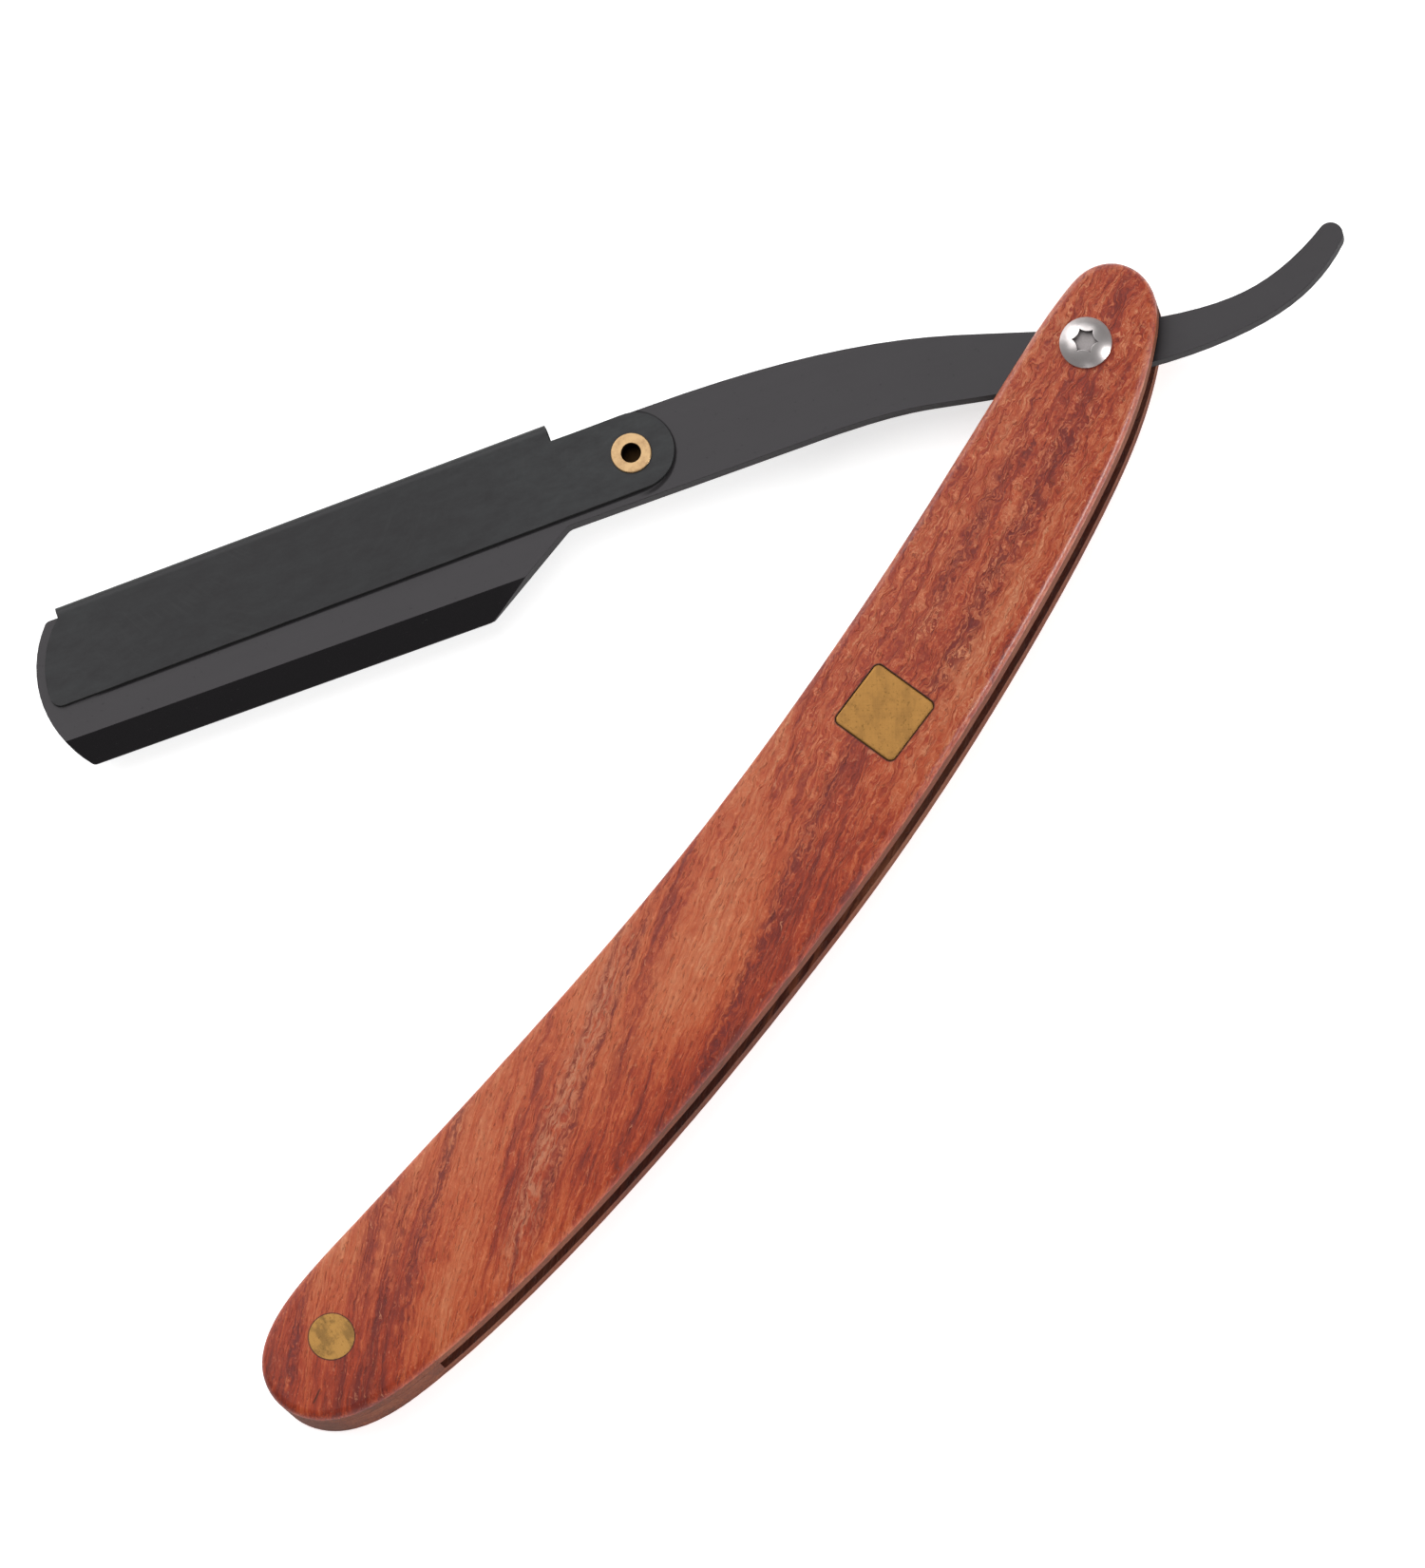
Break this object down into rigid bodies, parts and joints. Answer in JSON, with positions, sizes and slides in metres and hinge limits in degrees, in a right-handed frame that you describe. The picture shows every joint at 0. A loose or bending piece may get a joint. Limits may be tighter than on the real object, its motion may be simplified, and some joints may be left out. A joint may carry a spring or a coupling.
{
  "type": "straight razor",
  "caption": "Folding straight razor with bowed wooden scales, a dark steel arm and a folded sheet cover that swings off the plate to change its snapped half blade.",
  "frame": {"origin": "on the pivot axis, in the back scale's outer face, which lies on the table", "axes": "+X from the pivot to the tail pin, +Y towards the handle's convex edge, +Z out through the front scale"},
  "size_m": [0.1615, 0.086, 0.0107],
  "materials": {
    "scale_wood": "orange-brown hardwood with dark red-brown streaks, satin oiled",
    "spacer_wood": "the scales' hardwood, satin",
    "pin_brass": "filed flush, slightly tarnished",
    "inlay_brass": "brushed, slightly tarnished",
    "screw_steel": "stainless, semi-polished",
    "washer_brass": "plain",
    "arm_coating": "purple-black coated steel, semi-gloss",
    "blade_pin_steel": "plain",
    "cover_coating": "matte black coated sheet steel",
    "rivet_brass": "rolled over, slightly tarnished"
  },
  "bodies": {
    "handle": {"front_scale": "scale_wood", "back_scale": "scale_wood", "tail_spacer": "spacer_wood", "tail_pin": "pin_brass", "square_inlay": "inlay_brass", "pivot_screw": "screw_steel", "pivot_nut": "screw_steel", "front_washer": "washer_brass", "back_washer": "washer_brass"},
    "arm": {"razor_arm": "arm_coating", "blade_pins": "blade_pin_steel", "cover_rivet": "rivet_brass"},
    "cover": {"blade_cover": "cover_coating"}
  },
  "joints": [
    {"name": "arm_hinge", "type": "hinge", "parent": "handle", "child": "arm", "pos_m": [0, 0, 0.00463], "axis": [0, 0, 1], "range_deg": [-234, 36]},
    {"name": "cover_hinge", "type": "hinge", "parent": "arm", "child": "cover", "pos_m": [0.03616, -0.03187, 0.00463], "axis": [0, 0, 1], "range_deg": [-110, 0]}
  ]
}
